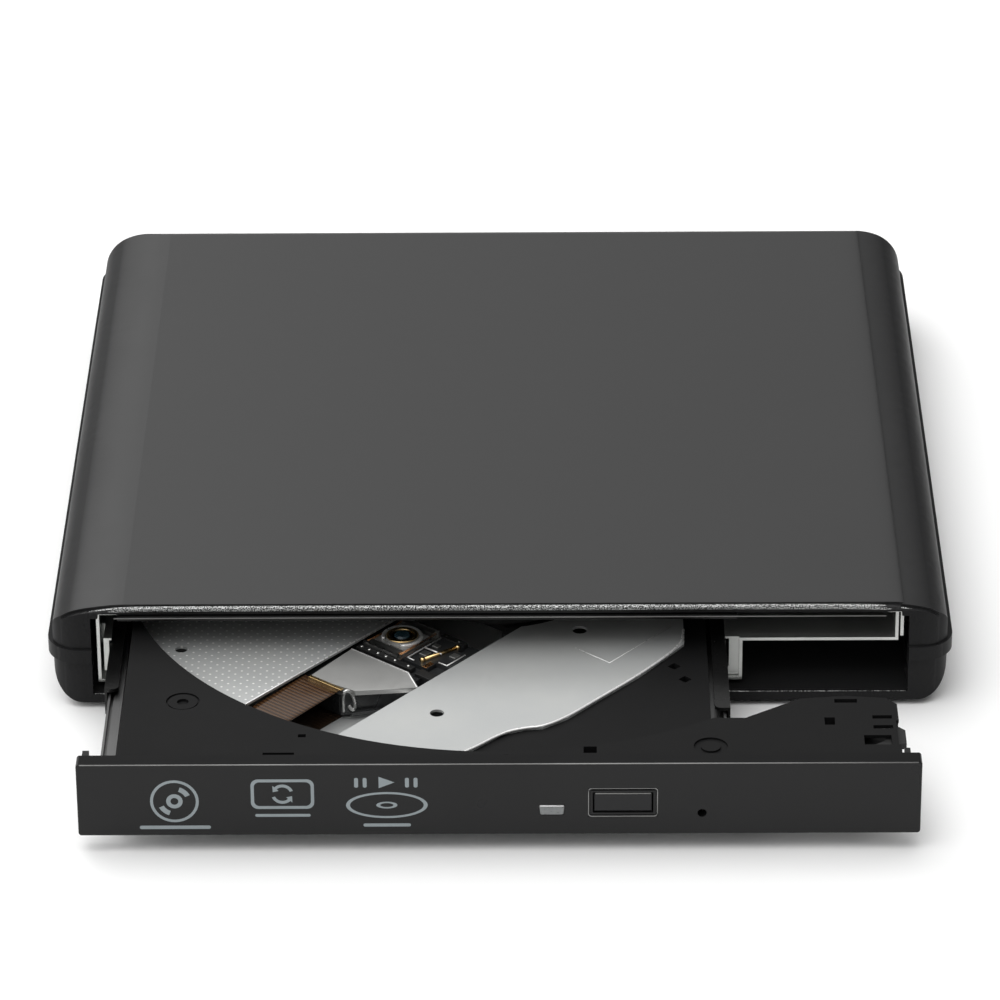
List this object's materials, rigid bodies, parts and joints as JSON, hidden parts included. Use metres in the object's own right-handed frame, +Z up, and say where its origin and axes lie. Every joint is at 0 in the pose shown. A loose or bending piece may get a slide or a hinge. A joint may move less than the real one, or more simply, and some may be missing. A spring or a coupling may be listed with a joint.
{
  "type": "external optical drive",
  "caption": "Slim USB optical disc drive in a black two-shell case, with its disc tray part way out, showing the turntable, laser pickup, rails and eject button.",
  "frame": {"origin": "centre of the part's footprint on the desk, with the tray drawn out as at rest", "axes": "+Z up, +Y from the tray front towards the back of the case, +X to the right as seen from the tray side"},
  "size_m": [0.144, 0.1852, 0.0183],
  "materials": {
    "case_plastic": "satin",
    "foot_rubber": "matt",
    "screw_steel": "zinc plated",
    "green_board": "solder mask",
    "chip_black": "matt",
    "bright_steel": "polished",
    "connector_black": "matt",
    "chassis_steel": "galvanised",
    "white_flex": "matt",
    "rail_black": "black coated",
    "tray_plastic": "fine texture",
    "bezel_plastic": "satin",
    "led_clear": "frosted",
    "motor_steel": "plated",
    "rail_steel": "satin",
    "shield_steel": "brushed",
    "frame_black": "black coated",
    "copper_wire": "enamelled",
    "amber_flex": "glossy",
    "white_plastic": "matt",
    "turntable_black": "satin",
    "cast_zinc": "cast",
    "pickup_grey": "satin",
    "magnet_grey": "plated",
    "holder_silver": "satin",
    "lens_glass": "clear"
  },
  "bodies": {
    "case": {"top_cover": "case_plastic", "bottom_shell": "case_plastic", "rubber_feet": "foot_rubber", "case_screws": "screw_steel", "drive_screws": "screw_steel", "bridge_board": "green_board", "bridge_chips": "chip_black", "usb_socket": "bright_steel", "usb_insert": "connector_black", "board_connector": "connector_black", "drive_connector": "connector_black", "chassis_pan": "chassis_steel", "chassis_top_plate": "chassis_steel", "rail_guide_left": "chassis_steel", "rail_guide_right": "chassis_steel", "main_board": "green_board", "main_board_chips": "chip_black", "main_flex": "white_flex"},
    "disc_tray": {"tray": "tray_plastic", "bezel": "bezel_plastic", "led_window": "led_clear", "switch_board": "green_board", "switch_and_led": "chip_black", "latch_magnet": "motor_steel", "tray_rail_left": "rail_steel", "tray_rail_right": "rail_steel", "shield_plate_left": "shield_steel", "shield_plate_right": "shield_steel", "traverse_frame": "frame_black", "main_guide_rod": "bright_steel", "side_guide_rod": "bright_steel", "rod_clamps": "frame_black", "sled_motor": "motor_steel", "spindle_base": "motor_steel", "stator_coils": "copper_wire", "pickup_flex": "amber_flex", "tray_bottom_shield": "shield_steel", "tray_screws": "screw_steel", "tray_flex": "white_flex"},
    "left_rail": {"rail_left": "rail_black"},
    "right_rail": {"rail_right": "rail_black"},
    "eject_button_body": {"eject_button": "bezel_plastic"},
    "release_slider_body": {"release_slider": "white_plastic"},
    "latch": {"latch_lever": "connector_black"},
    "lead_screw_body": {"lead_screw": "bright_steel"},
    "spindle": {"turntable": "turntable_black", "turntable_ring": "foot_rubber", "rotor_cup": "motor_steel", "spindle_shaft": "bright_steel"},
    "claw_body_1": {"claw_1": "turntable_black"},
    "claw_body_2": {"claw_2": "turntable_black"},
    "claw_body_3": {"claw_3": "turntable_black"},
    "pickup": {"pickup_base": "cast_zinc", "pickup_cover": "pickup_grey", "lens_yoke": "bright_steel", "lens_magnets": "magnet_grey", "laser_module": "copper_wire", "screw_nut": "white_plastic"},
    "lens": {"lens_holder": "holder_silver", "objective_lens": "lens_glass"}
  },
  "joints": [
    {"name": "tray_slide", "type": "slide", "parent": "case", "child": "disc_tray", "axis": [0, -1, 0], "range_m": [-0.0428, 0.055]},
    {"name": "left_rail_slide", "type": "slide", "parent": "case", "child": "left_rail", "axis": [0, -1, 0], "range_m": [-0.0214, 0.0275]},
    {"name": "right_rail_slide", "type": "slide", "parent": "case", "child": "right_rail", "axis": [0, -1, 0], "range_m": [-0.0214, 0.0275]},
    {"name": "eject_button_press", "type": "slide", "parent": "disc_tray", "child": "eject_button_body", "axis": [0, 1, 0], "range_m": [0, 0.0007], "stiffness_N_per_m": 800},
    {"name": "emergency_release", "type": "slide", "parent": "disc_tray", "child": "release_slider_body", "axis": [0, 1, 0], "range_m": [0, 0.003], "stiffness_N_per_m": 200},
    {"name": "latch_turn", "type": "hinge", "parent": "disc_tray", "child": "latch", "pos_m": [0.0562, -0.0859, 0.0122], "axis": [0, 0, 1], "range_deg": [0, 10]},
    {"name": "disc_spin", "type": "hinge", "parent": "disc_tray", "child": "spindle", "pos_m": [0, -0.0255, 0.011], "axis": [0, 0, 1], "continuous": true},
    {"name": "sled_slide", "type": "slide", "parent": "disc_tray", "child": "pickup", "axis": [-0.6428, -0.766, 0], "range_m": [-0.0006, 0.033]},
    {"name": "screw_turn", "type": "hinge", "parent": "disc_tray", "child": "lead_screw_body", "pos_m": [-0.00427, -0.06108, 0.0072], "axis": [-0.6428, -0.766, 0], "continuous": true},
    {"name": "lens_focus", "type": "slide", "parent": "pickup", "child": "lens", "axis": [0, 0, 1], "range_m": [-0.0003, 0.0003], "stiffness_N_per_m": 200},
    {"name": "claw_1_press", "type": "slide", "parent": "spindle", "child": "claw_body_1", "axis": [-0.766, 0.6428, 0], "range_m": [0, 0.0007], "stiffness_N_per_m": 400},
    {"name": "claw_2_press", "type": "slide", "parent": "spindle", "child": "claw_body_2", "axis": [-0.1736, -0.9848, 0], "range_m": [0, 0.0007], "stiffness_N_per_m": 400},
    {"name": "claw_3_press", "type": "slide", "parent": "spindle", "child": "claw_body_3", "axis": [0.9397, 0.342, 0], "range_m": [0, 0.0007], "stiffness_N_per_m": 400}
  ],
  "couplings": [
    {"joint": "left_rail_slide", "follows": "tray_slide", "ratio": 0.5},
    {"joint": "right_rail_slide", "follows": "tray_slide", "ratio": 0.5},
    {"joint": "screw_turn", "follows": "sled_slide", "rad_per_m": 2094.4},
    {"joint": "latch_turn", "follows": "emergency_release", "rad_per_m": 58}
  ]
}
